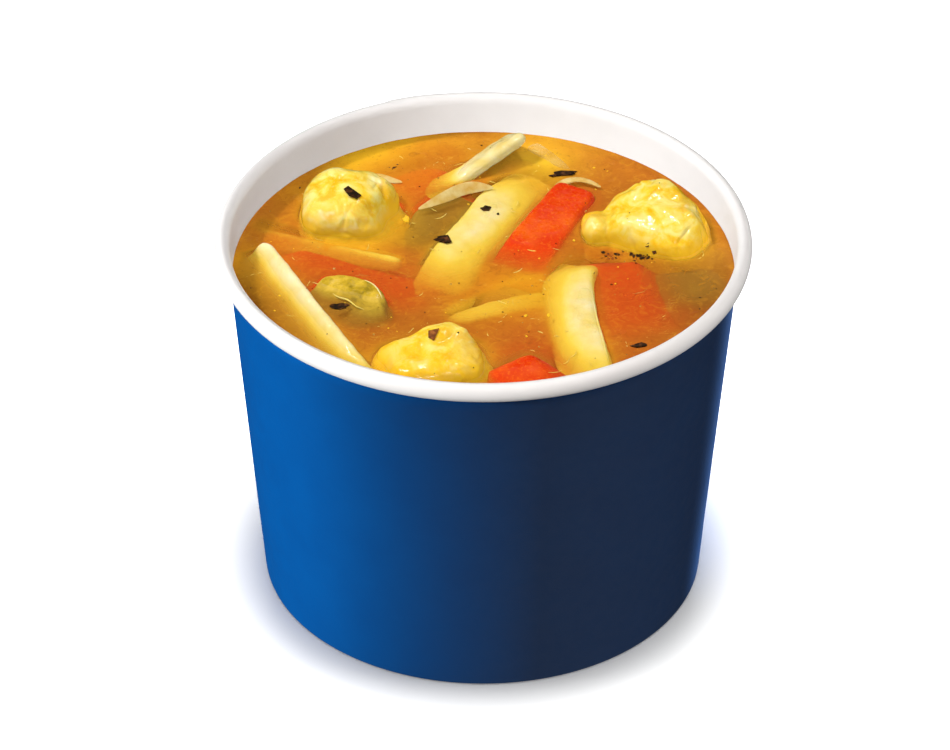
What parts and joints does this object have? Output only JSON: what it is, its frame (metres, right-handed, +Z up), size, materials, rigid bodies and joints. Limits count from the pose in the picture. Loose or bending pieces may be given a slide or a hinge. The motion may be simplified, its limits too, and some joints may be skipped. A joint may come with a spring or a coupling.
{
  "type": "chicken noodle soup in a paper cup",
  "caption": "Chicken noodle soup in a round tapered paper soup cup with a rolled rim, with wide noodles, carrot, celery and torn chicken at the surface.",
  "frame": {"origin": "centre of the circle that the cup stands on, at the height of the table", "axes": "+Z is up along the cup's axis, -Y points to the front, where the soup is seen from, and +X to the right"},
  "size_m": [0.098, 0.098, 0.0723],
  "materials": {
    "printed_paper": "coated paper printed blue outside, bare white on the rolled rim and inside, satin",
    "white_paper": "coated white paperboard, satin",
    "broth": "cloudy amber liquid with a wet gloss",
    "noodle": "wet pale yellow egg noodle",
    "carrot": "wet cooked carrot",
    "celery": "wet cooked celery, olive with a paler edge",
    "chicken": "wet fibrous cooked chicken, pale with golden patches",
    "herb": "dark dried herb flakes and pepper specks"
  },
  "bodies": {
    "root": {"cup_wall": "printed_paper", "cup_base": "white_paper", "broth": "broth", "noodle_left": "noodle", "noodle_centre": "noodle", "noodle_back": "noodle", "noodle_right": "noodle", "carrot_centre": "carrot", "carrot_front": "carrot", "celery_left": "celery", "celery_back": "celery", "chicken_left": "chicken", "chicken_right": "chicken", "chicken_front": "chicken"}
  },
  "joints": []
}
